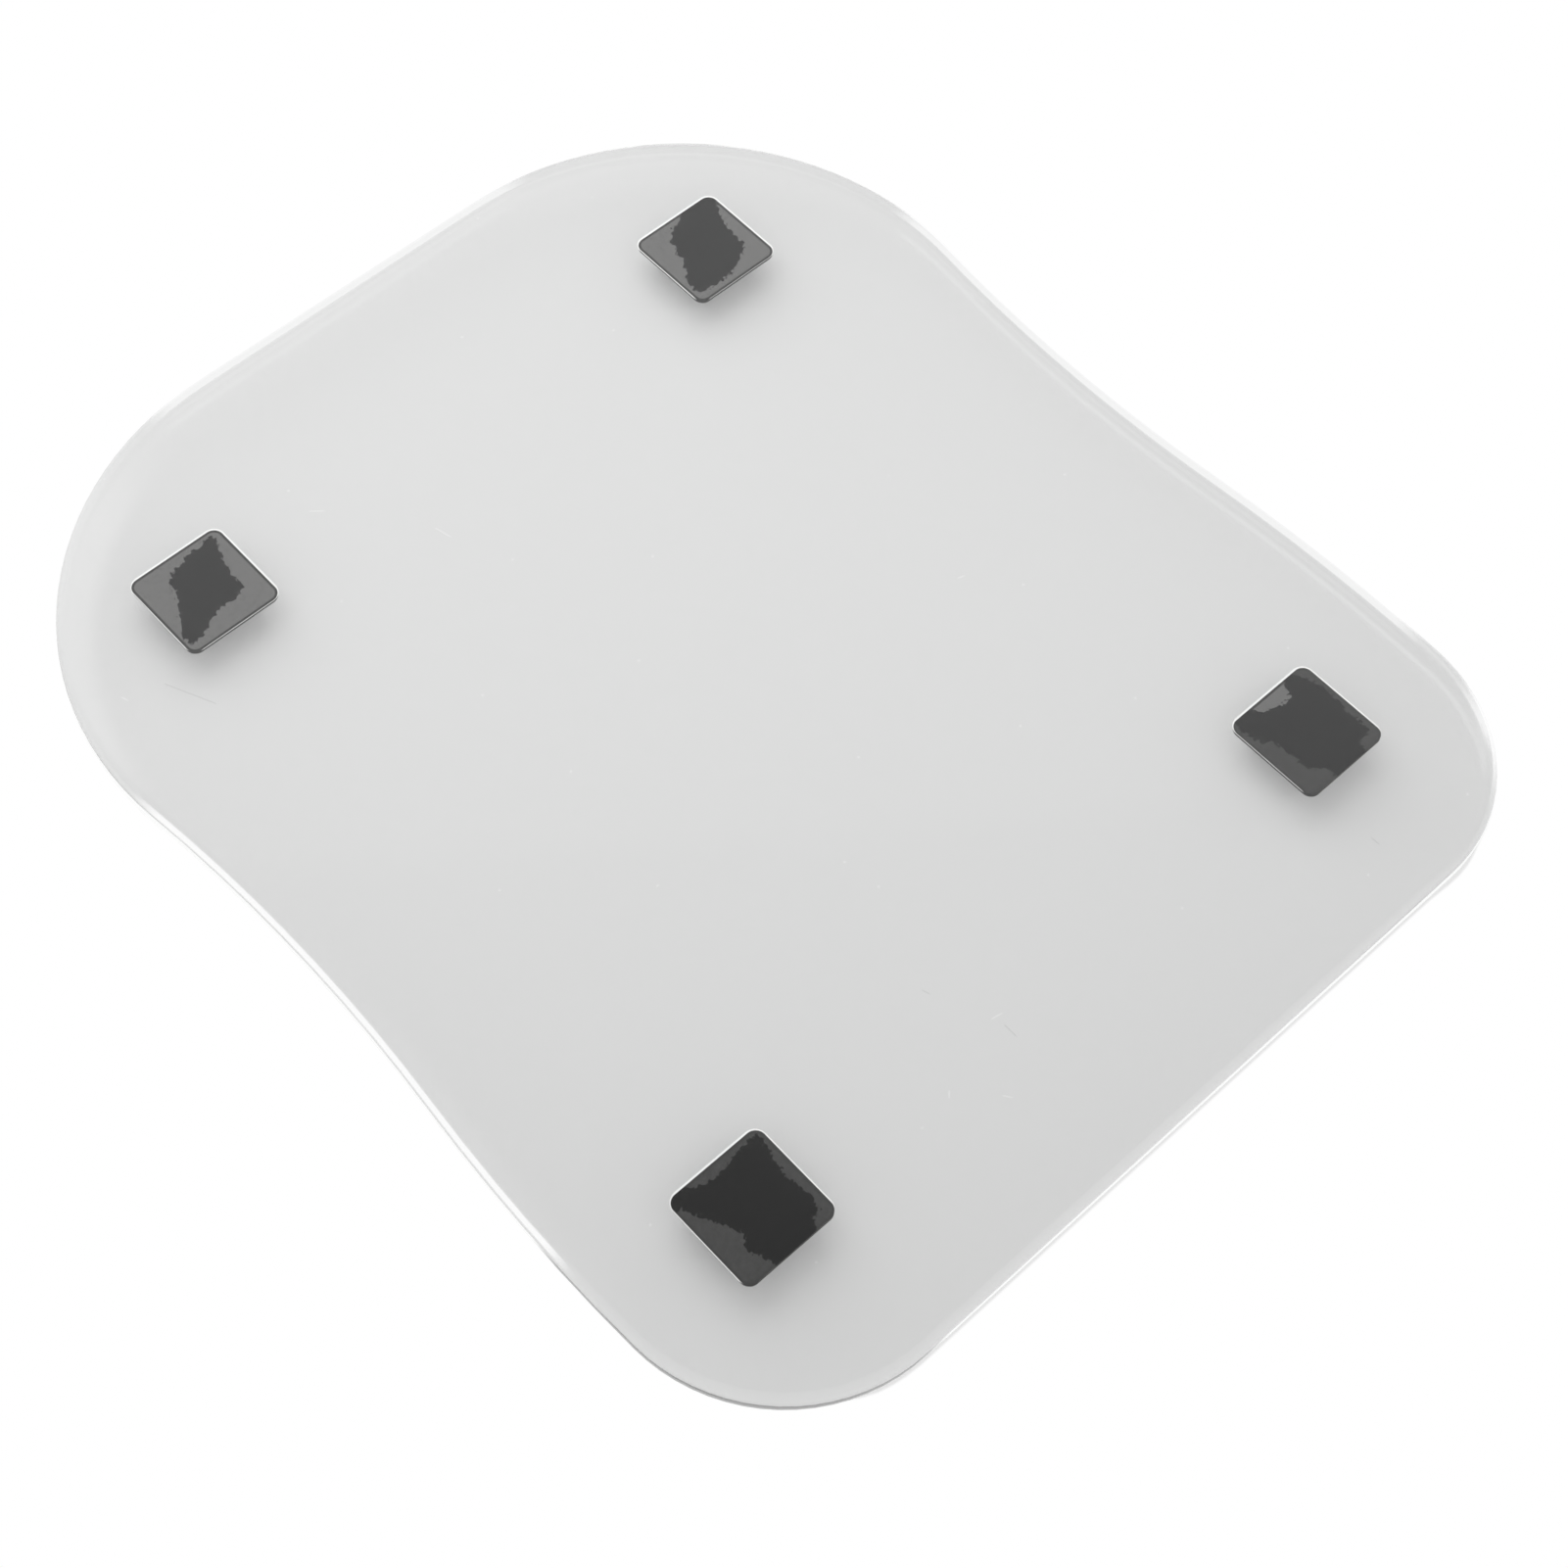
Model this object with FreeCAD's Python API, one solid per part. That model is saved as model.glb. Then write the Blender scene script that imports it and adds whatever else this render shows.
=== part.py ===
import FreeCAD, Part
import math
import os

# Stand-on platform of a bathroom scale: one clear toughened-glass plate on four tapered square feet, each foot
# bonded under the plate by its own adhesive pad. Millimetres. Origin: on the floor under the plate's centre, +Z up.
# -Y is the front edge, where the plate's corners are tighter and the feet stand wider apart.

# Plate outline
plate_length = 300.0         # front edge to rear edge
waist_width = 246.4          # narrowest width, across the two hollowed sides
waist_offset = 3.0           # place of the waist along Y, from the plate's centre
hollow_radius = 450.0        # hollow of each side
shoulder_radius = 500.0      # bulge of each side between the hollow and the front corner
shoulder_setback = 63.0      # front edge to the widest point of that bulge
front_corner_radius = 43.5
rear_corner_radius = 83.5    # this corner runs straight into the hollow

# Plate section
plate_thickness = 6.0
rim_flat = 0.6               # upright band left between the two rounds of the polished edge

# Feet: moulded rubber, widest at the glass
foot_side = 26.0             # across the flats at the glass
foot_height = 7.6
foot_land = 0.6              # upright band of the wall, next to the glass
foot_draft = 32.0            # degrees that the wall below it leans in towards the floor
foot_corner_radius = 2.6     # upright corners, at the glass
foot_top_round = 0.4
foot_sole_round = 1.0
sole_rim = 3.0               # width of the flat ring that stands on the floor
sole_dish_depth = 0.6        # the ring's middle is dished this deep
front_foot_pitch = 176.0     # between the centres of the two front feet
rear_foot_pitch = 160.0
front_foot_setback = 48.0    # front edge of the plate to the front feet's centres
rear_foot_setback = 50.4

# Adhesive pads between feet and glass
pad_thickness = 0.4
pad_overhang = 0.5           # the pad's edge stands this far out past the foot, all round

up = FreeCAD.Vector(0, 0, 1)
plate_underside = foot_height + pad_thickness
half_length = plate_length / 2
plate_edge_round = (plate_thickness - rim_flat) / 2


def turned(centre, radius, angle):
    """The point at this radius and angle, in radians, about the centre."""
    return centre + FreeCAD.Vector(radius * math.cos(angle), radius * math.sin(angle), 0)


def shoulder_centre():
    """Centre of the right-hand bulge, tangent to the hollow's arc."""
    y = shoulder_setback - half_length
    reach = hollow_radius + shoulder_radius
    x = waist_width / 2 + hollow_radius - math.sqrt(reach**2 - (waist_offset - y) ** 2)
    return FreeCAD.Vector(x, y, 0)


def front_corner_centre():
    """Centre of the corner arc, tangent to the front edge and, from inside, to the bulge."""
    y = front_corner_radius - half_length
    shoulder = shoulder_centre()
    reach = shoulder_radius - front_corner_radius
    return FreeCAD.Vector(shoulder.x + math.sqrt(reach**2 - (y - shoulder.y) ** 2), y, 0)


def rear_corner_centre():
    """Centre of the corner arc, tangent to the rear edge and to the hollow's arc."""
    y = half_length - rear_corner_radius
    reach = hollow_radius + rear_corner_radius
    x = waist_width / 2 + hollow_radius - math.sqrt(reach**2 - (y - waist_offset) ** 2)
    return FreeCAD.Vector(x, y, 0)


def heading(start, end):
    return math.atan2(end.y - start.y, end.x - start.x)


def arc_points(centre, radius, first, last):
    """Start, middle and end of an arc between two angles in radians."""
    return tuple(turned(centre, radius, angle) for angle in (first, (first + last) / 2, last))


def mirrored(point):
    return FreeCAD.Vector(-point.x, point.y, point.z)


def plate_outline():
    """Right half from front to rear as corner, bulge, hollow and corner arcs, then the same mirrored."""
    hollow = FreeCAD.Vector(waist_width / 2 + hollow_radius, waist_offset, 0)
    shoulder, front, rear = shoulder_centre(), front_corner_centre(), rear_corner_centre()
    front_join = heading(shoulder, front)
    shoulder_join = heading(shoulder, hollow)
    rear_join = heading(rear, hollow)
    arcs = [
        arc_points(front, front_corner_radius, -math.pi / 2, front_join),
        arc_points(shoulder, shoulder_radius, front_join, shoulder_join),
        arc_points(hollow, hollow_radius, math.pi + shoulder_join, math.pi + rear_join),
        arc_points(rear, rear_corner_radius, rear_join, math.pi / 2),
    ]
    left_arcs = [tuple(mirrored(point) for point in reversed(arc)) for arc in reversed(arcs)]
    right_edges = [Part.Arc(*arc).toShape() for arc in arcs]
    left_edges = [Part.Arc(*arc).toShape() for arc in left_arcs]
    rear_edge = Part.makeLine(arcs[-1][-1], left_arcs[0][0])
    front_edge = Part.makeLine(left_arcs[-1][-1], arcs[0][0])
    return Part.Wire(right_edges + [rear_edge] + left_edges + [front_edge])


def round_rims(solid, heights, radius):
    """Fillets the edges that lie wholly at one of these heights."""
    rims = [
        edge
        for edge in solid.Edges
        if any(
            abs(edge.BoundBox.ZMin - z) < 1e-4 and abs(edge.BoundBox.ZMax - z) < 1e-4
            for z in heights
        )
    ]
    return solid.makeFillet(radius, rims)


def glass_plate():
    """The outline extruded, with its upper and lower edges rounded to a polished pencil edge."""
    slab = Part.Face(plate_outline()).extrude(up * plate_thickness)
    slab = round_rims(slab, [0, plate_thickness], plate_edge_round)
    slab.translate(up * plate_underside)
    return slab


def rounded_square(side, radius, height):
    """A square wire with round corners, centred on the Z axis at this height."""
    half = side / 2
    inner = half - radius
    edges = []
    for turn in range(4):
        angle = math.radians(90 * turn)
        along = FreeCAD.Rotation(up, math.degrees(angle))
        start = along.multVec(FreeCAD.Vector(half, -inner, height))
        end = along.multVec(FreeCAD.Vector(half, inner, height))
        corner = along.multVec(FreeCAD.Vector(inner, inner, height))
        middle = turned(corner, radius, angle + math.pi / 4)
        finish = turned(corner, radius, angle + math.pi / 2)
        edges += [Part.makeLine(start, end), Part.Arc(end, middle, finish).toShape()]
    return Part.Wire(edges)


def foot_block():
    """A block on the Z axis with a dished sole, tapered from its upright land to the floor."""
    taper_height = foot_height - foot_land
    inset = taper_height * math.tan(math.radians(foot_draft))
    sole_side = foot_side - 2 * inset
    sole_corner = foot_corner_radius * sole_side / foot_side
    sole = rounded_square(sole_side, sole_corner, 0)
    taper_top = rounded_square(foot_side, foot_corner_radius, taper_height)
    block = Part.makeLoft([sole, taper_top], True, True)
    block = block.fuse(Part.Face(taper_top).extrude(up * foot_land))
    block = round_rims(block, [foot_height], foot_top_round)
    block = round_rims(block, [0], foot_sole_round)
    dish_side = sole_side - 2 * (foot_sole_round + sole_rim)
    dish = Part.Face(rounded_square(dish_side, sole_corner, 0)).extrude(up * sole_dish_depth)
    return block.cut(dish)


def adhesive_pad():
    """A thin square on the Z axis that fills the gap between a foot and the plate."""
    side = foot_side + 2 * pad_overhang
    outline = rounded_square(side, foot_corner_radius + pad_overhang, foot_height)
    return Part.Face(outline).extrude(up * pad_thickness)


def foot_places():
    front_y = -half_length + front_foot_setback
    rear_y = half_length - rear_foot_setback
    return {
        "front_left": (-front_foot_pitch / 2, front_y),
        "front_right": (front_foot_pitch / 2, front_y),
        "rear_left": (-rear_foot_pitch / 2, rear_y),
        "rear_right": (rear_foot_pitch / 2, rear_y),
    }


def write(name, solid, x=0.0, y=0.0):
    """Writes a copy of the solid, moved to its place, as the named node."""
    placed = solid.copy()
    placed.translate(FreeCAD.Vector(x, y, 0))
    placed.exportStep("parts/" + name + ".step")
    print(name, placed.isValid(), round(placed.Volume, 1))


os.makedirs("parts", exist_ok=True)
write("glass_platform", glass_plate())
foot = foot_block()
pad = adhesive_pad()
for place, (x, y) in foot_places().items():
    write("foot_" + place, foot, x, y)
    write("adhesive_pad_" + place, pad, x, y)
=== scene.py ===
import math

import bpy
import numpy as np
from mathutils import Matrix, Vector


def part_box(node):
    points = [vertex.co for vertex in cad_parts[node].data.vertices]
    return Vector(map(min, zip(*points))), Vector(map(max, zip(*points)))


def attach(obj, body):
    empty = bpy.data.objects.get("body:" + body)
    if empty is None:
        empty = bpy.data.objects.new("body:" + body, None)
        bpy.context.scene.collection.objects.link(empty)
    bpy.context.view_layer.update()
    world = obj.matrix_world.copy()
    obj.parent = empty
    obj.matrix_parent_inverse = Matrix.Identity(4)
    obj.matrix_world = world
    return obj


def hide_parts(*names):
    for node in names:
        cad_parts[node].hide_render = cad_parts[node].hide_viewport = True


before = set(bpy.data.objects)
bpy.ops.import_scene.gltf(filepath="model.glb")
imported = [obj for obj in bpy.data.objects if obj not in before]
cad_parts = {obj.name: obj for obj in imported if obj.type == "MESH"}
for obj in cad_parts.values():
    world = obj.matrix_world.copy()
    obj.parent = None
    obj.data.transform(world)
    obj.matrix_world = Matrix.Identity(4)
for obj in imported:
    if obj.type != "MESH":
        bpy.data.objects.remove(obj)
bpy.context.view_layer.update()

feet = ["front_left", "front_right", "rear_left", "rear_right"]
plateLow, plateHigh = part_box("glass_platform")
plateCentre = (plateLow + plateHigh) / 2
millimetre = 0.001
white = (1, 1, 1, 1)
print("frame loaded:", len(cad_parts), "nodes")


def direction(azimuth, elevation):
    # unit vector at an azimuth from +Y towards +X and an elevation, in degrees
    a, e = math.radians(azimuth), math.radians(elevation)
    return Vector((math.sin(a) * math.cos(e), math.cos(a) * math.cos(e), math.sin(e)))


def grey(level):
    return (level, level, level, 1)


# node helpers: settings are a node's own choices, values its unlinked sockets by name or number

def addNode(tree, kind, values=None, **settings):
    node = tree.nodes.new(kind)
    for name, value in settings.items():
        setattr(node, name, value)
    for key, value in (values or {}).items():
        node.inputs[key].default_value = value
    return node


def feed(tree, source, node, key):
    tree.links.new(source, node.inputs[key])
    return node


def maths(tree, operation, first, second=0.0, **settings):
    # one sum, product, distance and so on of two sockets or numbers
    node = addNode(tree, "ShaderNodeMath", operation=operation, **settings)
    for key, source in enumerate((first, second)):
        if isinstance(source, (int, float)):
            node.inputs[key].default_value = source
        else:
            feed(tree, source, node, key)
    return node.outputs[0]


def vectorMaths(tree, operation, first, second=(0, 0, 0), output=0):
    node = addNode(tree, "ShaderNodeVectorMath", operation=operation)
    for key, source in enumerate((first, second)):
        if isinstance(source, (tuple, Vector)):
            node.inputs[key].default_value = source
        else:
            feed(tree, source, node, key)
    return node.outputs[output]


def ramp(tree, source, fromLow, fromHigh, toLow=0.0, toHigh=1.0):
    # a smooth step from toLow to toHigh while the source goes from fromLow to fromHigh
    node = addNode(tree, "ShaderNodeMapRange", interpolation_type="SMOOTHSTEP")
    values = {"From Min": fromLow, "From Max": fromHigh, "To Min": toLow, "To Max": toHigh}
    for name, value in values.items():
        node.inputs[name].default_value = value
    return feed(tree, source, node, "Value").outputs["Result"]


def blend(tree, share, first, second):
    # the first colour where share is 0, the second where it is 1
    node = addNode(tree, "ShaderNodeMix", data_type="RGBA")
    for key, source in (("Factor", share), ("A", first), ("B", second)):
        socket = next(s for s in node.inputs if s.name == key and s.enabled)
        if isinstance(source, (tuple, float, int)):
            socket.default_value = source
        else:
            tree.links.new(source, socket)
    return next(s for s in node.outputs if s.enabled)


def newMaterial(name):
    material = bpy.data.materials.new(name)
    material.use_nodes = True
    material.node_tree.nodes.clear()
    return material, material.node_tree


def finishMaterial(tree, shader):
    feed(tree, shader, addNode(tree, "ShaderNodeOutputMaterial"), "Surface")


def useMaterial(piece, material):
    piece.data.materials.clear()
    piece.data.materials.append(material)


def newGroup(name, inputs, outputs):
    # inputs and outputs are lists of (name, kind, default)
    group = bpy.data.node_groups.new(name, "ShaderNodeTree")
    for way, sockets in (("INPUT", inputs), ("OUTPUT", outputs)):
        for label, kind, default in sockets:
            socket = group.interface.new_socket(label, in_out=way, socket_type="NodeSocket" + kind)
            if default is not None:
                socket.default_value = default
    return group, group.nodes.new("NodeGroupInput"), group.nodes.new("NodeGroupOutput")


def placeGroup(tree, group, values, **links):
    node = addNode(tree, "ShaderNodeGroup", node_tree=group)
    for key, value in values.items():
        node.inputs[key].default_value = value
    for key, source in links.items():
        feed(tree, source, node, key)
    return node


# effects shared by the materials

def makeMottle():
    # patches of one value about 1
    group, start, end = newGroup("mottle", [
        ("Position", "Vector", None), ("Scale", "Float", 100.0), ("Strength", "Float", 0.1),
    ], [("Value", "Float", None)])
    slow = addNode(group, "ShaderNodeTexNoise", {"Detail": 5.0, "Roughness": 0.6})
    feed(group, start.outputs["Position"], slow, "Vector")
    feed(group, start.outputs["Scale"], slow, "Scale")
    swing = maths(group, "MULTIPLY", maths(group, "SUBTRACT", slow.outputs[0], 0.5), 2.0)
    value = maths(group, "ADD", maths(group, "MULTIPLY", swing, start.outputs["Strength"]), 1.0)
    feed(group, value, end, "Value")
    return group


def makeGrain():
    # height of a fine matt skin: two sizes of noise added
    group, start, end = newGroup("grain", [
        ("Position", "Vector", None), ("Scale", "Float", 1500.0),
    ], [("Height", "Float", None)])
    fine = addNode(group, "ShaderNodeTexNoise", {"Detail": 3.0})
    feed(group, start.outputs["Position"], fine, "Vector")
    feed(group, start.outputs["Scale"], fine, "Scale")
    broad = addNode(group, "ShaderNodeTexNoise", {"Detail": 2.0})
    feed(group, start.outputs["Position"], broad, "Vector")
    feed(group, maths(group, "MULTIPLY", start.outputs["Scale"], 0.2), broad, "Scale")
    feed(group, maths(group, "ADD", fine.outputs[0], broad.outputs[0]), end, "Height")
    return group


def makeScratch():
    # 1 on a straight line from Start to End seen from above, 0 further from it than Width
    group, start, end = newGroup("scratch", [
        ("Position", "Vector", None), ("Start", "Vector", None), ("End", "Vector", None),
        ("Width", "Float", 0.0002),
    ], [("Mask", "Float", None)])
    flat = vectorMaths(group, "MULTIPLY", start.outputs["Position"], (1, 1, 0))
    along = vectorMaths(group, "SUBTRACT", start.outputs["End"], start.outputs["Start"])
    away = vectorMaths(group, "SUBTRACT", flat, start.outputs["Start"])
    reach = vectorMaths(group, "DOT_PRODUCT", away, along, output="Value")
    whole = vectorMaths(group, "DOT_PRODUCT", along, along, output="Value")
    share = maths(group, "DIVIDE", reach, whole, use_clamp=True)
    scaled = addNode(group, "ShaderNodeVectorMath", operation="SCALE")
    feed(group, along, scaled, 0)
    feed(group, share, scaled, "Scale")
    distance = vectorMaths(group, "DISTANCE", away, scaled.outputs[0], output="Value")
    near = maths(group, "SUBTRACT", 1.0, maths(group, "DIVIDE", distance, start.outputs["Width"]))
    feed(group, ramp(group, near, 0.0, 0.6), end, "Mask")
    return group


mottleGroup = makeMottle()
grainGroup = makeGrain()
scratchGroup = makeScratch()


# glass plate: the CAD node with a clear material
glass = {
    "tint": (0.87, 0.873, 0.87, 1),
    "ior": 1.52,
    "roughness": 0.0,
    "lampTint": 0.97,            # what lamps keep through the flat glass
    "rimLampTint": 0.6,          # and through the polished edge, which bends their light aside
    # painted light: light that has gone back and forth inside the plate more often than deepBounces is an
    # emission that stands in for light from its far edges, at the level deepLight, and at deepDim in the
    # front left corner, a painted shade there
    "deepBounces": 3,
    "deepLight": 1.04,
    "deepDim": 0.33,
    "deepCorner": (-0.070, -0.080),
    "rimSteep": (0.99, 0.9),     # the edge begins where the normal's Z falls from one to the other
    # painted shade: the polished edge is drawn greyer at the rear right corner, past these X and Y
    "cornerShade": (0.80, 0.80, 0.80, 1),
    "cornerX": (0.04, 0.06),
    "cornerY": (0.06, 0.08),
    # elsewhere a painted glint lies on the rounds of the edge: an emission that stands in for light that the
    # edge gathers from inside the plate, where the normal's Z lies between the lower and the upper pair
    # below
    "glintGlow": 1.0,
    "glintShare": 0.88,
    "glintFade": 0.006,
    "glintLower": (0.45, 0.62),
    "glintUpper": (0.93, 0.85),
    # the sides that carry the painted glint: each side's axis and direction, and from where to where along
    # the other axis; a side begins this far from the middle, as given just below
    "glintSide": 0.1,
    "glintSpans": [
        ("Y", 1, -0.057, 0.057),
        ("X", 1, -0.100, 0.073),
        ("X", 1, -0.140, -0.121),
        ("X", -1, -0.085, 0.060),
    ],
    "speckSpacing": 0.03,
    "speckRadius": 0.0003,
    "speckShare": 0.45,          # share of the spacing's cells that hold a speck
    "markWidth": 0.00024,
    # dark marks: scratches drawn darker, the scratch together with the painted shade that it casts
    "scratchShadeTint": (0.74, 0.745, 0.74, 1),
    # marks in the upper face, from and to, in millimetres about the plate's centre
    "lightMarks": [
        ((-18.5, -106.5), (-21.0, -106.0)),
        ((-31.0, -122.0), (-32.0, -120.5)),
        ((-28.0, 71.0), (-29.0, 75.0)),
        ((-40.0, -112.0), (-41.0, -113.0)),
        ((56.5, -19.0), (55.0, -18.5)),
        ((-112.5, 84.5), (-113.0, 86.0)),
        ((-46.0, 97.0), (-48.5, 99.0)),
    ],
    "scratchShadeMarks": [
        ((-98.0, 70.5), (-103.5, 82.5)),
        ((-20.0, -109.0), (-20.0, -112.5)),
        ((75.5, -132.0), (75.5, -134.0)),
        ((-27.0, -92.5), (-27.5, -91.0)),
    ],
}


def paintedEdgeGlint(tree, place, steepness):
    # steepness is the normal's Z: the painted glint lies on the rounds, and neither on the faces nor on the
    # upright band
    steepness = maths(tree, "ABSOLUTE", steepness)
    fade, total = glass["glintFade"], 0.0
    for axis, side, low, high in glass["glintSpans"]:
        other = place["X" if axis == "Y" else "Y"]
        begun, ended = ramp(tree, other, low - fade, low + fade), ramp(tree, other, high + fade, high - fade)
        share = maths(tree, "MULTIPLY", begun, ended)
        outer = maths(tree, "GREATER_THAN", maths(tree, "MULTIPLY", place[axis], side), glass["glintSide"])
        total = maths(tree, "MAXIMUM", maths(tree, "MULTIPLY", share, outer), total)
    upper, lower = ramp(tree, steepness, *glass["glintUpper"]), ramp(tree, steepness, *glass["glintLower"])
    band = maths(tree, "MULTIPLY", upper, lower)
    return maths(tree, "MULTIPLY", total, maths(tree, "MULTIPLY", band, glass["glintShare"]))


def clearGlass():
    material, tree = newMaterial("clearGlass")
    place = addNode(tree, "ShaderNodeTexCoord").outputs["Object"]
    split = feed(tree, place, addNode(tree, "ShaderNodeSeparateXYZ"), 0)
    upper = maths(tree, "GREATER_THAN", split.outputs["Z"], plateCentre.z)
    masks = {}
    for kind in ("lightMarks", "scratchShadeMarks"):
        marks = None
        for points in glass[kind]:
            ends = [(plateCentre.x + x * millimetre, plateCentre.y + y * millimetre, 0) for x, y in points]
            mark = placeGroup(tree, scratchGroup, {
                "Start": ends[0], "End": ends[1], "Width": glass["markWidth"],
            }, Position=place).outputs["Mask"]
            marks = mark if marks is None else maths(tree, "MAXIMUM", marks, mark)
        masks[kind] = marks
    spacing = glass["speckSpacing"]
    cells = addNode(tree, "ShaderNodeTexVoronoi", {"Scale": 1 / spacing}, voronoi_dimensions="2D")
    feed(tree, place, cells, "Vector")
    dot = maths(tree, "LESS_THAN", cells.outputs["Distance"], glass["speckRadius"] / spacing)
    cellSplit = feed(tree, cells.outputs["Color"], addNode(tree, "ShaderNodeSeparateColor"), 0)
    kept = maths(tree, "LESS_THAN", cellSplit.outputs[0], glass["speckShare"])
    light = maths(tree, "MAXIMUM", masks["lightMarks"], maths(tree, "MULTIPLY", dot, kept))
    colour = blend(tree, maths(tree, "MULTIPLY", light, upper), glass["tint"], white)
    # painted scratch shade in the upper face
    colour = blend(tree, maths(tree, "MULTIPLY", masks["scratchShadeMarks"], upper), colour, glass["scratchShadeTint"])

    shader = addNode(tree, "ShaderNodeBsdfPrincipled", {
        "Roughness": glass["roughness"], "IOR": glass["ior"], "Transmission Weight": 1.0,
    })
    normal = addNode(tree, "ShaderNodeNewGeometry").outputs["Normal"]
    normalSplit = feed(tree, normal, addNode(tree, "ShaderNodeSeparateXYZ"), 0)
    rim = ramp(tree, maths(tree, "ABSOLUTE", normalSplit.outputs["Z"]), *glass["rimSteep"])
    split = {axis: split.outputs[axis] for axis in "XYZ"}
    # painted shade on the polished edge at the rear right corner
    corner = maths(tree, "MULTIPLY", *(ramp(tree, split[axis], *glass["corner" + axis]) for axis in "XY"))
    colour = blend(tree, maths(tree, "MULTIPLY", rim, corner), colour, glass["cornerShade"])
    feed(tree, colour, shader, "Base Color")

    # light from lamps and off the floor goes straight through, and only a view of the glass bends
    straight = addNode(tree, "ShaderNodeBsdfTransparent")
    feed(tree, blend(tree, rim, grey(glass["lampTint"]), grey(glass["rimLampTint"])), straight, "Color")
    path = addNode(tree, "ShaderNodeLightPath")
    lighting = maths(tree, "MAXIMUM", path.outputs["Is Shadow Ray"], path.outputs["Is Diffuse Ray"])
    # painted light for deep rays inside the plate, with painted shade at the front left corner
    dim = maths(tree, "MULTIPLY", *(ramp(tree, split[axis], *glass["deepCorner"]) for axis in "XY"))
    level = blend(tree, dim, grey(glass["deepLight"]), grey(glass["deepDim"]))
    deepLight = feed(tree, level, addNode(tree, "ShaderNodeEmission"), "Color")
    deep = addNode(tree, "ShaderNodeMixShader")
    feed(tree, maths(tree, "GREATER_THAN", path.outputs["Ray Depth"], glass["deepBounces"]), deep, 0)
    feed(tree, shader.outputs[0], deep, 1)
    feed(tree, deepLight.outputs[0], deep, 2)
    # painted glint: an emission on the rounds of the edge, mixed over the glass
    glintMask = paintedEdgeGlint(tree, split, normalSplit.outputs["Z"])
    glintMix = feed(tree, glintMask, addNode(tree, "ShaderNodeMixShader"), 0)
    feed(tree, deep.outputs[0], glintMix, 1)
    feed(tree, addNode(tree, "ShaderNodeEmission", {"Strength": glass["glintGlow"]}).outputs[0], glintMix, 2)
    mix = addNode(tree, "ShaderNodeMixShader")
    feed(tree, lighting, mix, 0)
    feed(tree, glintMix.outputs[0], mix, 1)
    feed(tree, straight.outputs[0], mix, 2)
    finishMaterial(tree, mix.outputs[0])
    return material


useMaterial(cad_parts["glass_platform"], clearGlass())
print("glass done")


# feet: the CAD nodes in matt black rubber
rubber = {
    "dark": (0.024, 0.024, 0.024, 1),
    "light": (0.052, 0.051, 0.050, 1),
    "mottleScale": 260.0,
    "grainScale": 2600.0,
    "grainHeight": 0.00004,
    "roughness": (0.46, 0.62),
    "ior": 1.5,
    "patches": (0.7, 1.3),       # mottle values between which dark turns to light, and smooth to rough
    "dust": (0.16, 0.155, 0.15, 1),
    "dustShare": 0.5,
    "dustPatches": (0.85, 1.25),
    "dustHeight": 0.0016,        # scuffs and dust fade out this far above the floor
}


def footRubber():
    material, tree = newMaterial("footRubber")
    place = addNode(tree, "ShaderNodeTexCoord").outputs["Object"]
    mottle = placeGroup(tree, mottleGroup, {
        "Scale": rubber["mottleScale"], "Strength": 1.0,
    }, Position=place)
    patch = ramp(tree, mottle.outputs[0], *rubber["patches"])
    colour = blend(tree, patch, rubber["dark"], rubber["light"])
    split = feed(tree, place, addNode(tree, "ShaderNodeSeparateXYZ"), 0)
    low = ramp(tree, split.outputs["Z"], rubber["dustHeight"], 0.0)
    dusty = maths(tree, "MULTIPLY", low, ramp(tree, mottle.outputs[0], *rubber["dustPatches"]))
    grain = placeGroup(tree, grainGroup, {"Scale": rubber["grainScale"]}, Position=place)
    bump = addNode(tree, "ShaderNodeBump", {"Strength": 1.0, "Distance": rubber["grainHeight"]})
    feed(tree, grain.outputs[0], bump, "Height")
    shader = addNode(tree, "ShaderNodeBsdfPrincipled", {"IOR": rubber["ior"]})
    colour = blend(tree, maths(tree, "MULTIPLY", dusty, rubber["dustShare"]), colour, rubber["dust"])
    feed(tree, colour, shader, "Base Color")
    feed(tree, ramp(tree, mottle.outputs[0], *rubber["patches"], *rubber["roughness"]), shader, "Roughness")
    feed(tree, bump.outputs[0], shader, "Normal")
    finishMaterial(tree, shader.outputs[0])
    return material


rubberMaterial = footRubber()
for place in feet:
    useMaterial(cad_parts["foot_" + place], rubberMaterial)
print("feet done")


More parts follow.
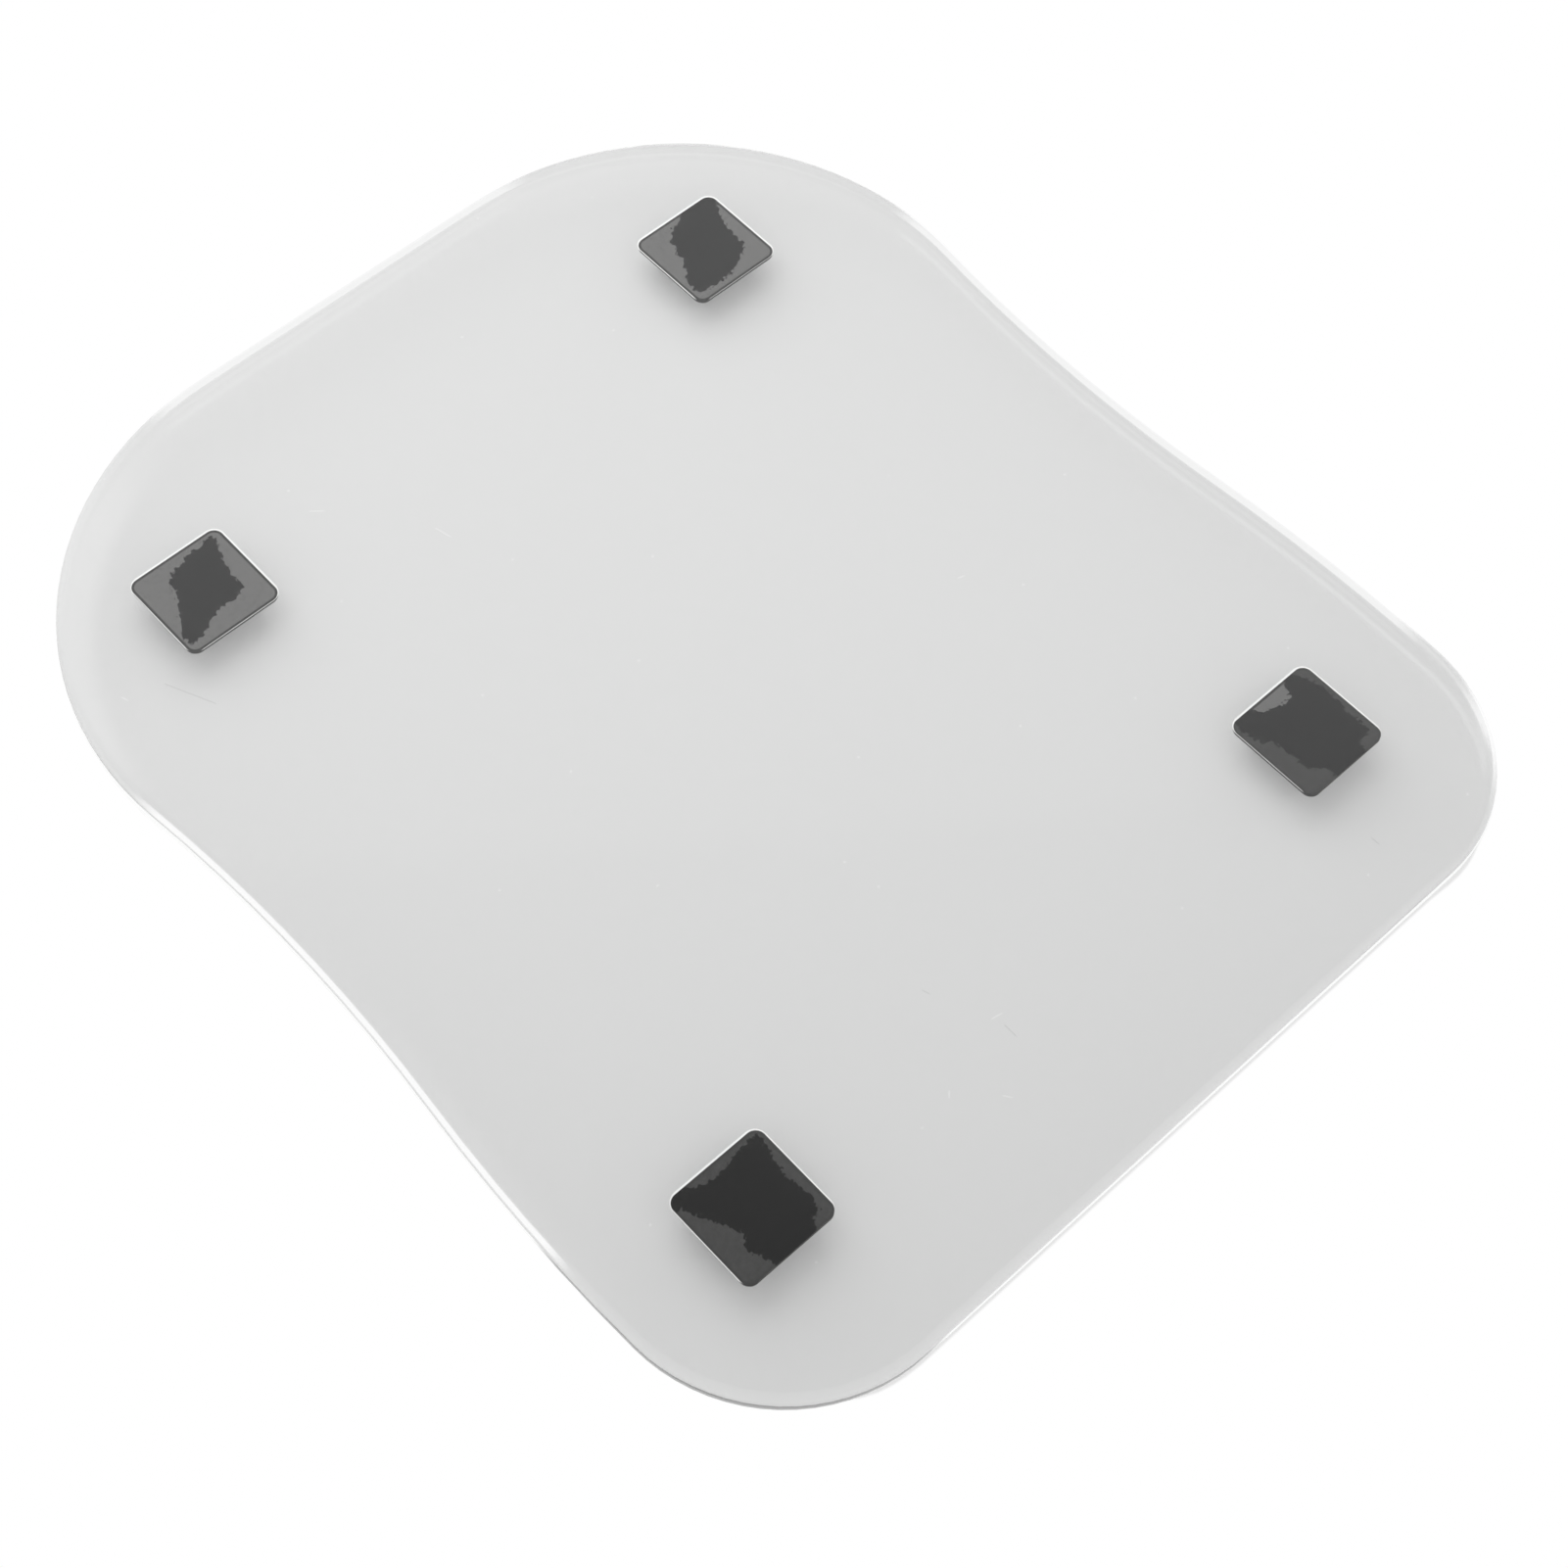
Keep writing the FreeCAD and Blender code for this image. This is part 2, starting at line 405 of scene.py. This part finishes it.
# adhesive pads: clear adhesive over the dark rubber, wetted to the glass in the middle
pad = {
    "corner": 0.0031,            # of the pad, and of the foot under it
    "footCorner": 0.0026,
    "glassGap": 0.00003,         # keeps the pad's face and the glass from sharing a plane
    "edgeRound": 0.0001,
    "edgeSteps": 5,
    "around": 520,               # steps of the grid, and the two inner rings of the underside
    "across": 100,
    "underRings": (0.2, 0.6),
    # the dark line round the foot is the rubber's rounded edge together with painted shade of the gap under
    # the glass
    "footRim": 0.0006,           # the foot's rounded edge shows this wide and dark under the pad, coming
    "footRimReach": (-1.3, -0.7),   # in between these shares of it from the foot's outline
    "ragged": 0.0005,            # how far the wetted patch's edge wanders, in waves of these sizes
    "raggedSizes": (0.0034, 0.0014, 0.0008, 0.0005),
    "raggedStrengths": (0.5, 0.5, 0.35, 0.15),
    "soft": 0.00016,             # width of that edge, and of a pale spot's as a share of the foot's half
    "spotSoft": 0.08,
    # small bubbles along the wetted edge: their sizes and strengths, where the band of them lies inside the
    # edge and how wide it is, which of them show and how pale they are
    "frothSizes": (0.0010, 0.0006),
    "frothStrengths": (0.7, 0.6),
    "frothInset": 0.0004,
    "frothWidth": 0.0006,
    "frothLevels": (0.9, 1.5),
    "frothLift": 0.35,
    "wet": (0.014, 0.014, 0.014, 1),
    # pale unwetted adhesive, partly its own paleness and partly painted reflection off the air gap under the
    # glass
    "dryAndSheen": (0.205, 0.204, 0.202, 1),
    "rim": (0.045, 0.045, 0.044, 1),
    # painted highlight: the pad's clear edge is drawn near white and given a glow, for light that it gathers
    # through the glass
    "cutEdgeHighlight": (0.92, 0.92, 0.91, 1),
    "cutReach": (-0.00005, 0.0001),   # where the foot's rim gives way to the pad's clear edge
    "paintedHighlightGlow": 0.38,             # light that the clear edge gathers through the glass
    "mottleScale": 800.0,
    "mottleStrength": 0.35,
    "roughness": 0.6,
    "ior": 1.45,
    "specular": 0.2,
}

# each pad's wetted patch, as shares of the foot's half width about its centre, +X right and +Y rear; margin
# is how far the pad stands out past the foot, slip how far it stands off centre, the two setting how wide
# the painted highlight along its edge shows on each side; dryness how pale the unwetted adhesive is, partly
# its own paleness and partly painted reflection off the air gap under the glass, stronger on the rear feet;
# and patches are paler spots as centre, radius and what they add to that
wetPatch = {
    "rear_left": {
        "margin": 0.00030, "slip": (0.00018, 0.00026), "drynessAndSheen": 1.0,
        "patches": [],
        "points": [
            (0.80, 0.88), (0.25, 0.81), (-0.24, 0.69), (-0.42, 0.52), (-0.41, 0.34), (-0.51, 0.11),
            (-0.65, -0.11), (-0.76, -0.33), (-0.92, -0.57), (-0.93, -0.72), (-0.85, -0.80), (-0.65, -0.77),
            (-0.41, -0.68), (-0.25, -0.57), (0.0, -0.51), (0.25, -0.51), (0.44, -0.48), (0.58, -0.41),
            (0.60, -0.24), (0.60, 0.06), (0.67, 0.26), (0.74, 0.52), (0.83, 0.77),
        ],
    },
    "rear_right": {
        "margin": 0.00032, "slip": (0.00022, 0.00030), "drynessAndSheen": 1.0,
        "patches": [],
        "points": [
            (1.10, 1.10), (0.24, 1.10), (0.12, 0.87), (-0.12, 0.82), (-0.26, 0.74), (-0.43, 0.52),
            (-0.49, 0.29), (-0.53, 0.12), (-0.64, -0.09), (-0.76, -0.30), (-0.87, -0.46), (-0.88, -0.66),
            (-0.80, -0.77), (-0.56, -0.82), (-0.04, -0.81), (0.16, -0.73), (0.35, -0.62), (0.53, -0.56),
            (0.66, -0.42), (0.68, -0.26), (0.66, -0.11), (0.70, 0.09), (0.76, 0.34), (0.86, 0.58),
            (1.00, 0.76), (1.10, 0.90),
        ],
    },
    "front_left": {
        "margin": 0.00024, "slip": (0.00010, 0.00026), "drynessAndSheen": 0.36,
        "patches": [],
        "points": [
            (-1.10, 0.90), (-0.86, 0.68), (-0.75, 0.45), (-0.64, 0.22), (-0.52, 0.02), (-0.45, -0.18),
            (-0.47, -0.34), (-0.58, -0.46), (-0.54, -0.61), (-0.46, -0.75), (-0.37, -1.05), (0.47, -1.05),
            (0.58, -0.82), (0.75, -0.76), (0.84, -0.55), (0.82, -0.31), (0.77, 0.02), (0.79, 0.25),
            (0.85, 0.53), (0.93, 0.76), (0.89, 0.89), (0.43, 0.88), (0.31, 0.84), (0.0, 0.77),
            (-0.27, 0.81), (-0.55, 0.90), (-0.72, 1.10),
        ],
    },
    "front_right": {
        "margin": 0.00024, "slip": (0.00020, 0.00030), "drynessAndSheen": 0.30,
        "patches": [((-0.05, 0.90), 0.46, 0.8)],
        "points": [
            (-0.47, 1.10), (-0.86, 1.00), (-0.92, 0.80), (-0.82, 0.40), (-0.66, 0.28), (-0.62, 0.02),
            (-0.60, -0.31), (-0.58, -0.55), (-0.48, -0.66), (-0.34, -0.73), (-0.31, -1.05), (0.51, -1.05),
            (0.53, -0.79), (0.82, -0.77), (0.89, -0.59), (0.83, -0.31), (0.91, 0.06), (0.91, 0.44),
            (0.83, 0.65), (0.75, 0.84), (0.73, 1.10), (0.43, 1.10), (0.37, 0.78), (0.25, 0.67),
            (0.10, 0.67), (-0.04, 0.72), (-0.23, 0.78), (-0.35, 0.86),
        ],
    },
}


def squareReach(angle, half, corner):
    # how far a rounded square's edge lies from its centre at each angle: the straight side's distance over
    # the larger of cosine and sine, and near a corner the far crossing of the ray with the corner's circle
    x, y = np.abs(np.cos(angle)), np.abs(np.sin(angle))
    straight = half / np.maximum(x, y)
    inner = half - corner
    along = inner * (x + y)
    arc = along + np.sqrt(np.maximum(along**2 - 2 * inner**2 + corner**2, 0))
    return np.where(np.minimum(x, y) * straight > inner, arc, straight)


def squareDistance(x, y, half, corner):
    # signed distance to a rounded square's edge, negative inside
    overX, overY = np.abs(x) - (half - corner), np.abs(y) - (half - corner)
    outside = np.hypot(np.maximum(overX, 0), np.maximum(overY, 0))
    return outside + np.minimum(np.maximum(overX, overY), 0) - corner


def patchDistance(x, y, points):
    # signed distance to a closed outline, negative inside: the nearest of its sides, and the sign from how
    # many sides a ray towards +X crosses
    nearest = np.full(x.shape, np.inf)
    inside = np.zeros(x.shape, bool)
    for (x0, y0), (x1, y1) in zip(points, points[1:] + points[:1]):
        spanX, spanY = x1 - x0, y1 - y0
        share = np.clip(((x - x0) * spanX + (y - y0) * spanY) / (spanX**2 + spanY**2), 0, 1)
        nearest = np.minimum(nearest, np.hypot(x - x0 - share * spanX, y - y0 - share * spanY))
        if spanY != 0:
            crossing = x0 + (y - y0) / spanY * spanX
            inside ^= ((y0 > y) != (y1 > y)) & (x < crossing)
    return np.where(inside, -nearest, nearest)


def wander(x, y, random, sizes, strengths):
    # smooth noise from -1 to 1 or so: for each size, the mean of eight waves in random directions
    total = np.zeros(x.shape)
    for size, strength in zip(sizes, strengths):
        turns, phases = random.uniform(0, 2 * math.pi, (2, 8))
        lengths = size * random.uniform(0.7, 1.4, 8)
        for turn, phase, length in zip(turns, phases, lengths):
            wave = np.sin((x * math.cos(turn) + y * math.sin(turn)) * 2 * math.pi / length + phase)
            total += strength * wave / math.sqrt(8)
    return total


def smoothStep(value, low, high):
    share = np.clip((value - low) / (high - low), 0, 1)
    return share * share * (3 - 2 * share)


def hump(value, low, high):
    # 1 in the middle between two values, 0 from them outwards
    middle = (low + high) / 2
    return smoothStep(value, low, middle) * smoothStep(value, high, middle)


def makePad(place, seed):
    padLow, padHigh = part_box("adhesive_pad_" + place)
    footLow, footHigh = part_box("foot_" + place)
    footCentre = (footLow + footHigh) / 2
    footHalf = (footHigh.x - footLow.x) / 2
    patch = wetPatch[place]
    half = footHalf + patch["margin"]
    slipX, slipY = patch["slip"]
    top, bottom = padHigh.z - pad["glassGap"], padLow.z
    # a grid closed at both poles: an outline round the pad times a profile that runs from the middle of
    # the top, over the rounded edge, to the middle of the bottom
    angle = np.linspace(0, 2 * math.pi, pad["around"], endpoint=False)
    bend = np.linspace(0, math.pi / 2, pad["edgeSteps"])
    rounding = pad["edgeRound"]
    inset = np.concatenate([
        half * np.linspace(1, rounding / half, pad["across"], endpoint=False),
        rounding * (1 - np.sin(bend)), rounding * (1 - np.cos(bend)), half * np.array(pad["underRings"]),
    ])[1:]
    height = np.concatenate([
        np.full(pad["across"], top), top - rounding * (1 - np.cos(bend)),
        bottom + rounding * (1 - np.sin(bend)), [bottom, bottom],
    ])[1:]
    reach = squareReach(angle, half, pad["corner"])
    share = 1 - inset / half
    x = share[:, None] * reach * np.cos(angle) + slipX
    y = share[:, None] * reach * np.sin(angle) + slipY
    z = np.broadcast_to(height[:, None], x.shape)
    ring = np.stack([x, y, z], -1).reshape(-1, 3)
    poles = np.array([[slipX, slipY, top], [slipX, slipY, bottom]])
    points = np.concatenate([ring, poles])

    rows, columns = x.shape
    step = np.arange(columns)
    following = (step + 1) % columns
    base = np.arange(rows - 1)[:, None] * columns
    quads = np.stack([base + step, base + columns + step, base + columns + following, base + following], -1)
    last = (rows - 1) * columns
    topFan = np.stack([step, following, np.full(columns, rows * columns)], -1)
    bottomFan = np.stack([last + following, last + step, np.full(columns, rows * columns + 1)], -1)
    faces = quads.reshape(-1, 4).tolist() + topFan.tolist() + bottomFan.tolist()

    random = np.random.default_rng(seed)
    localX, localY = points[:, 0], points[:, 1]
    outline = [(a * footHalf, b * footHalf) for a, b in patch["points"]]
    edge = patchDistance(localX, localY, outline)
    edge += pad["ragged"] * wander(localX, localY, random, pad["raggedSizes"], pad["raggedStrengths"])
    lift = smoothStep(edge, -pad["soft"] / 2, pad["soft"] / 2)
    # paleness of the unwetted adhesive, partly painted reflection off the air gap under the glass
    drynessAndSheen = np.full(lift.shape, patch["drynessAndSheen"])
    for (a, b), radius, level in patch["patches"]:
        spot = np.hypot(localX - a * footHalf, localY - b * footHalf)
        outer, inner = radius + pad["spotSoft"], radius - pad["spotSoft"]
        drynessAndSheen += level * smoothStep(spot, outer * footHalf, inner * footHalf)
    froth = wander(localX, localY, random, pad["frothSizes"], pad["frothStrengths"])
    border = np.exp(-((edge + pad["frothInset"]) / pad["frothWidth"]) ** 2)
    lift = np.clip(lift + pad["frothLift"] * border * smoothStep(froth, *pad["frothLevels"]), 0, 1)
    proud = squareDistance(localX, localY, footHalf, pad["footCorner"])

    mesh = bpy.data.meshes.new("wetted_pad_" + place)
    mesh.from_pydata((points + [footCentre.x, footCentre.y, 0]).tolist(), [], faces)
    for name, values in (("lift", lift * drynessAndSheen), ("proud", proud)):
        attribute = mesh.attributes.new(name, "FLOAT", "POINT")
        attribute.data.foreach_set("value", values.astype(np.float32))
    mesh.polygons.foreach_set("use_smooth", np.ones(len(faces), bool))
    mesh.update()
    piece = bpy.data.objects.new("wetted_pad_" + place, mesh)
    bpy.context.scene.collection.objects.link(piece)
    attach(piece, "root")
    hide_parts("adhesive_pad_" + place)
    return piece


def wettedAdhesive():
    material, tree = newMaterial("wettedAdhesive")
    place = addNode(tree, "ShaderNodeTexCoord").outputs["Object"]
    lift = addNode(tree, "ShaderNodeAttribute", attribute_name="lift").outputs["Fac"]
    proud = addNode(tree, "ShaderNodeAttribute", attribute_name="proud").outputs["Fac"]
    mottle = placeGroup(tree, mottleGroup, {
        "Scale": pad["mottleScale"], "Strength": pad["mottleStrength"],
    }, Position=place)
    lift = maths(tree, "MULTIPLY", lift, mottle.outputs[0])
    # wetted adhesive dark; unwetted paler, partly with painted air-gap reflection
    colour = blend(tree, lift, pad["wet"], pad["dryAndSheen"])
    rimStart, rimEnd = (share * pad["footRim"] for share in pad["footRimReach"])
    # dark rubber edge with painted shade of the gap beside it
    rim = maths(tree, "MULTIPLY", ramp(tree, proud, rimStart, rimEnd), lift)
    colour = blend(tree, rim, colour, pad["rim"])
    # painted highlight along the pad's cut edge, in colour and emission
    past = ramp(tree, proud, *pad["cutReach"])
    colour = blend(tree, past, colour, pad["cutEdgeHighlight"])
    highlightEmission = blend(tree, past, (0, 0, 0, 1), pad["cutEdgeHighlight"])
    shader = addNode(tree, "ShaderNodeBsdfPrincipled", {
        "Roughness": pad["roughness"], "IOR": pad["ior"], "Specular IOR Level": pad["specular"],
        "Emission Strength": pad["paintedHighlightGlow"],
    })
    feed(tree, colour, shader, "Base Color")
    feed(tree, highlightEmission, shader, "Emission Color")
    finishMaterial(tree, shader.outputs[0])
    return material


adhesiveMaterial = wettedAdhesive()
for seed, place in enumerate(feet):
    useMaterial(makePad(place, 20 + seed), adhesiveMaterial)
print("adhesive pads done")


# camera: aimed at a point of the plate's middle plane from above the front left corner
view = {
    "aim": (-0.0135, -0.03125),
    "distance": 0.6278,
    "azimuth": 46.0,
    "elevation": 60.05,
    "roll": 3.7,
    "lens": 62.8,
    "sensor": 36,
    "clipStart": 0.01,
}
look = direction(view["azimuth"], -view["elevation"])
viewPoint = plateCentre + Vector((*view["aim"], 0)) - look * view["distance"]


def makeCamera():
    cameraData = bpy.data.cameras.new("camera")
    cameraData.lens = view["lens"]
    cameraData.sensor_width = view["sensor"]
    cameraData.clip_start = view["clipStart"]
    camera = bpy.data.objects.new("camera", cameraData)
    bpy.context.scene.collection.objects.link(camera)
    right = look.cross(Vector((0, 0, 1))).normalized()
    up = right.cross(look)
    turn = Matrix.Rotation(math.radians(-view["roll"]), 3, look)
    axes = Matrix((turn @ right, turn @ up, -look)).transposed()
    camera.matrix_world = Matrix.Translation(viewPoint) @ axes.to_4x4()
    bpy.context.scene.camera = camera


# studio: a white floor that keeps the shadows, a soft box behind the object and a soft sky
studio = {
    "floorSize": 8.0,
    "floorColour": (0.95, 0.95, 0.95, 1),
    # the floor's rings: steps round the plate's outline, and from how far inside to how far outside it
    "outlineSteps": 720,
    "normalSpan": 3,             # steps to each side that give the outline's direction
    "middleBand": 0.0004,        # how near to the plate's middle plane a vertex of its outline lies
    "ringReach": 12 * millimetre,
    "ringStep": 0.3 * millimetre,
    # the height above the plate's middle and the way in from its outline at which a view passes the rim
    "rimHeight": 0.0017,
    "rimInset": 0.0004,
    # shares of plain white in what a view shows of the floor: under the plate, and all white where the
    # floor is seen past the plate's outline, but for a narrow strip along the front edge, where the outline
    # faces the front by this much
    "plainUnder": 0.2,
    "plainEdge": (-0.0005, 0.0002),
    "frontStrip": 0.001,
    "frontFacing": (0.9, 0.99),
    # painted light: on the left the floor under the plate is drawn paler, for the light from outside that
    # reaches in under it, where the outline faces between these azimuths
    "plainLeft": 0.42,
    "plainLeftReach": (-0.0098, -0.0040),
    "leftFrom": (-95, -75),
    "leftTo": (-8, -32),
    # painted light: a pale line on the floor behind the plate and to its right, for the light that the
    # polished edge gathers there
    "gathered": 0.45,
    "gatheredReach": (-0.0018, 0.0018),
    "rearWithin": (12, 6),
    "rightFrom": (80, 86),
    "rightTo": (150, 130),
    # soft boxes: azimuth from +Y towards +X, elevation, distance, size and share of plain light on the
    # floor
    "lamps": [
        ("rearBox", 12.0, 50.0, 0.6, 0.8, 0.38),
    ],
}


def seenRays(tree):
    # 1 for what a view shows, straight or in metal and glass
    path = addNode(tree, "ShaderNodeLightPath")
    seen = maths(tree, "MAXIMUM", path.outputs["Is Camera Ray"], path.outputs["Is Glossy Ray"])
    return maths(tree, "MAXIMUM", seen, path.outputs["Is Transmission Ray"])


def plateOutline(steps):
    # the outline of the plate's mesh seen from above, its points spread evenly, and its normals
    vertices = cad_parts["glass_platform"].data.vertices
    points = np.array([v.co[:] for v in vertices])
    points = points[np.abs(points[:, 2] - plateCentre.z) < studio["middleBand"]][:, :2]
    points = points[np.argsort(np.arctan2(points[:, 1], points[:, 0]))]
    points = np.vstack([points, points[:1]])
    travelled = np.concatenate([[0], np.cumsum(np.hypot(*np.diff(points, axis=0).T))])
    even = np.linspace(0, travelled[-1], steps, endpoint=False)
    outline = np.stack([np.interp(even, travelled, points[:, axis]) for axis in (0, 1)], 1)
    span = studio["normalSpan"]
    along = np.roll(outline, -span, axis=0) - np.roll(outline, span, axis=0)
    normal = np.stack([along[:, 1], -along[:, 0]], 1) / np.hypot(*along.T)[:, None]
    return outline, normal


def makeFloor():
    # rings at even distances from the plate's outline, closed in the middle and wide outside, so that the
    # floor's shares follow the outline
    outline, normal = plateOutline(studio["outlineSteps"])
    reach, spacing = studio["ringReach"], studio["ringStep"]
    away = np.arange(-reach, reach + spacing / 2, spacing)
    ring = outline + away[:, None, None] * normal
    wide = outline * studio["floorSize"] / (plateHigh.y - plateLow.y)
    points = np.vstack([ring.reshape(-1, 2), wide, [[0, 0]]])
    points = np.column_stack([points, np.zeros(len(points))])

    # the plate's rim as seen: its height where the view just passes it, and how far outside the outline
    # that view meets the floor
    facing = normal @ np.array(look.xy.normalized())
    height = plateCentre.z + studio["rimHeight"] * facing
    drop = (outline - np.array(viewPoint.xy)) * (height / (viewPoint.z - height))[:, None]
    strip = studio["frontStrip"] * smoothStep(-normal[:, 1], *studio["frontFacing"])
    seen = (drop * normal).sum(1) - studio["rimInset"] + strip
    azimuth = np.degrees(np.arctan2(normal[:, 0], normal[:, 1]))
    rear = smoothStep(np.abs(azimuth), *studio["rearWithin"])
    right = smoothStep(azimuth, *studio["rightFrom"]) * smoothStep(azimuth, *studio["rightTo"])
    left = smoothStep(azimuth, *studio["leftFrom"]) * smoothStep(azimuth, *studio["leftTo"])

    away = away[:, None]
    # painted light on the floor under the plate's left side
    reached = studio["plainLeft"] * left * smoothStep(away, *studio["plainLeftReach"])
    plain = studio["plainUnder"] + (1 - studio["plainUnder"]) * reached
    plain = np.maximum(plain, smoothStep(away - seen, *studio["plainEdge"]))
    # painted line of light on the floor along the rear and right edges
    gathered = studio["gathered"] * np.maximum(rear, right) * hump(away, *studio["gatheredReach"])
    plain = np.maximum(plain, gathered)
    plain = np.concatenate([plain.ravel(), np.ones(len(outline)), [studio["plainUnder"]]])

    rows, columns = len(away) + 1, len(outline)
    step = np.arange(columns)
    following = (step + 1) % columns
    base = np.arange(rows - 1)[:, None] * columns
    quads = np.stack([base + step, base + columns + step, base + columns + following, base + following], -1)
    fan = np.stack([step, following, np.full(columns, rows * columns)], -1)
    mesh = bpy.data.meshes.new("floor")
    mesh.from_pydata(points.tolist(), [], quads.reshape(-1, 4).tolist() + fan.tolist())
    mesh.attributes.new("plain", "FLOAT", "POINT").data.foreach_set("value", plain.astype(np.float32))
    mesh.update()
    floor = bpy.data.objects.new("floor", mesh)
    bpy.context.scene.collection.objects.link(floor)

    material, tree = newMaterial("paleFloor")
    diffuse = addNode(tree, "ShaderNodeBsdfDiffuse", {"Color": studio["floorColour"]})
    plainLight = addNode(tree, "ShaderNodeEmission", {"Color": white, "Strength": 1.0})
    share = addNode(tree, "ShaderNodeAttribute", attribute_name="plain").outputs["Fac"]
    mix = addNode(tree, "ShaderNodeMixShader")
    feed(tree, maths(tree, "MULTIPLY", seenRays(tree), share), mix, 0)
    feed(tree, diffuse.outputs[0], mix, 1)
    feed(tree, plainLight.outputs[0], mix, 2)
    finishMaterial(tree, mix.outputs[0])
    useMaterial(floor, material)


# sky: dim where the glass reflects it from above the front, brighter past a level line and overhead, and
# white at the horizon but for one azimuth; azimuths and elevations in degrees
sky = {
    "dim": 0.2,
    "bright": 0.64,
    "step": 0.1,                 # jump in level on the level line, and how wide it is to each side
    "stepWidth": 0.01,
    "slope": (37.3, -28.6),      # azimuth and elevation of the direction that it brightens towards
    "angles": (-12.0, 8.0),
    "over": 0.75,                # overhead and at the front, past these angles below the level line
    "overAngles": (-14.0, -30.0),
    "horizon": (40.0, 20.0),     # elevations between which the white of the horizon comes in
    "low": 1.0,
    "lowDim": 0.5,               # share of that white left at dimAzimuth, and how far about it
    "dimAzimuth": 46.0,
    "dimAngles": (10.0, 24.0),
}


def dimAzimuth(tree, way):
    # 1 where a direction's level part points near the azimuth that the sky is dim towards
    flat = vectorMaths(tree, "NORMALIZE", vectorMaths(tree, "MULTIPLY", way, (1, 1, 0)))
    middle = direction(sky["dimAzimuth"], 0.0)
    near, far = (math.cos(math.radians(a)) for a in sky["dimAngles"])
    return ramp(tree, vectorMaths(tree, "DOT_PRODUCT", flat, middle, output="Value"), far, near)


def makeSky():
    world = bpy.data.worlds.new("studio")
    bpy.context.scene.world = world
    world.use_nodes = True
    tree = world.node_tree
    tree.nodes.clear()
    way = addNode(tree, "ShaderNodeTexCoord").outputs["Generated"]
    slope = vectorMaths(tree, "DOT_PRODUCT", way, direction(*sky["slope"]), output="Value")
    dimSide, brightSide = (math.sin(math.radians(a)) for a in sky["angles"])
    level = ramp(tree, slope, dimSide, brightSide, sky["dim"], sky["bright"])
    jump = ramp(tree, slope, -sky["stepWidth"], sky["stepWidth"], 0.0, sky["step"])
    level = maths(tree, "ADD", level, jump)
    nearSide, overSide = (math.sin(math.radians(a)) for a in sky["overAngles"])
    level = maths(tree, "MAXIMUM", level, ramp(tree, slope, nearSide, overSide, 0.0, sky["over"]))
    height = feed(tree, way, addNode(tree, "ShaderNodeSeparateXYZ"), 0).outputs["Z"]
    steep, shallow = (math.sin(math.radians(a)) for a in sky["horizon"])
    low = ramp(tree, height, steep, shallow)
    level = maths(tree, "MAXIMUM", level, maths(tree, "MULTIPLY", low, sky["low"]))
    dimmed = maths(tree, "MULTIPLY", low, dimAzimuth(tree, way))
    level = maths(tree, "MULTIPLY", level, ramp(tree, dimmed, 0.0, 1.0, 1.0, sky["lowDim"]))
    path = addNode(tree, "ShaderNodeLightPath")
    level = maths(tree, "MAXIMUM", level, path.outputs["Is Camera Ray"])
    background = feed(tree, level, addNode(tree, "ShaderNodeBackground", {"Color": white}), "Strength")
    output = addNode(tree, "ShaderNodeOutputWorld")
    feed(tree, background.outputs[0], output, "Surface")


def makeLamp(name, azimuth, elevation, distance, size, share):
    # a square soft box aimed at the plate; its power gives the floor there the share of plain light: a
    # square of power P lights a facing surface at distance d by P / (pi d squared), near enough
    lampData = bpy.data.lights.new(name, "AREA")
    lampData.size = size
    way = direction(azimuth, elevation)
    lampData.energy = share * math.pi * math.pi * distance**2 / way.z
    lamp = bpy.data.objects.new(name, lampData)
    bpy.context.scene.collection.objects.link(lamp)
    lamp.location = plateCentre + way * distance
    lamp.rotation_euler = way.to_track_quat("Z", "Y").to_euler()
    lamp.visible_glossy = False
    lamp.visible_transmission = False


makeFloor()
makeSky()
for lamp in studio["lamps"]:
    makeLamp(*lamp)
print("studio done")


makeCamera()
bpy.context.scene.view_settings.view_transform = "Standard"
print("camera done")
